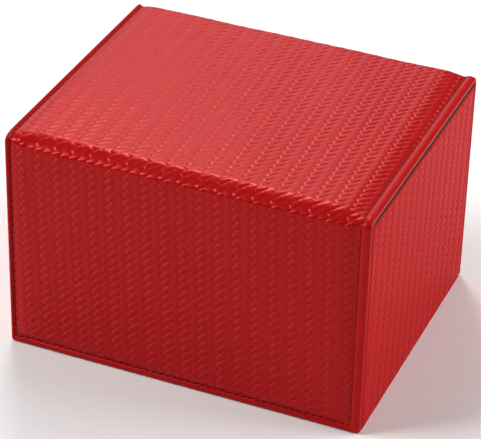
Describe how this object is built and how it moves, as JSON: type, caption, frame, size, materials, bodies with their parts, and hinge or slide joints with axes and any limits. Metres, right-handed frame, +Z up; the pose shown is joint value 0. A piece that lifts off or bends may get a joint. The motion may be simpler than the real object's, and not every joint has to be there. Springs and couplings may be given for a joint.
{
  "type": "card deck box",
  "caption": "Upright card storage box: a lined two-row tray inside a stitched, woven-look leather cover whose top lifts as a lid and whose front hangs as a magnetic flap.",
  "frame": {"origin": "centre of the flat base, on the surface that the box stands on", "axes": "+X to the right across the box's width, +Y to the back, so the flap faces -Y, and +Z up"},
  "size_m": [0.158, 0.129, 0.1013],
  "materials": {
    "woven_red_leather": "imitation leather embossed with a herringbone weave, semi-gloss",
    "smooth_red_leather": "smooth imitation leather with fine grain, semi-gloss",
    "suede_lining": "black microsuede lining, matte",
    "greyboard": "uncoated grey bookbinding board",
    "foam": "thin white padding sheet",
    "thread": "dark red polyester thread, slight sheen",
    "magnet": "nickel-plated disc magnet"
  },
  "bodies": {
    "box": {"floor_board": "greyboard", "front_wall_board": "greyboard", "back_wall_board": "greyboard", "left_wall_board": "greyboard", "right_wall_board": "greyboard", "wall_magnets": "magnet", "base_skin": "smooth_red_leather", "front_wall_skin": "smooth_red_leather", "left_side_skin": "woven_red_leather", "right_side_skin": "woven_red_leather", "left_wall_lining": "suede_lining", "right_wall_lining": "suede_lining", "floor_lining": "suede_lining", "front_wall_lining": "suede_lining", "back_wall_lining": "suede_lining", "rim_binding": "suede_lining", "divider_board": "greyboard", "divider_lining": "suede_lining", "back_panel_lining": "suede_lining", "back_panel_board": "greyboard", "back_panel_foam": "foam", "back_panel_skin": "woven_red_leather", "back_panel_turned_edge": "smooth_red_leather", "back_panel_stitching": "thread", "rear_fold_skin": "woven_red_leather", "rear_fold_lining": "suede_lining"},
    "lid": {"lid_lining": "suede_lining", "lid_board": "greyboard", "lid_foam": "foam", "lid_skin": "woven_red_leather", "lid_turned_edges": "smooth_red_leather", "lid_stitching": "thread", "front_fold_skin": "woven_red_leather", "front_fold_lining": "suede_lining"},
    "flap": {"flap_lining": "suede_lining", "flap_board": "greyboard", "flap_foam": "foam", "flap_skin": "woven_red_leather", "flap_turned_edge": "smooth_red_leather", "flap_stitching": "thread", "flap_magnets": "magnet"}
  },
  "joints": [
    {"name": "lid_hinge", "type": "hinge", "parent": "box", "child": "lid", "pos_m": [0, 0.0637, 0.1005], "axis": [-1, 0, 0], "range_deg": [0, 180], "deforming": ["rear_fold_skin", "rear_fold_lining"]},
    {"name": "flap_hinge", "type": "hinge", "parent": "lid", "child": "flap", "pos_m": [0, -0.0632, 0.0998], "axis": [-1, 0, 0], "range_deg": [0, 120], "deforming": ["front_fold_skin", "front_fold_lining"]}
  ]
}
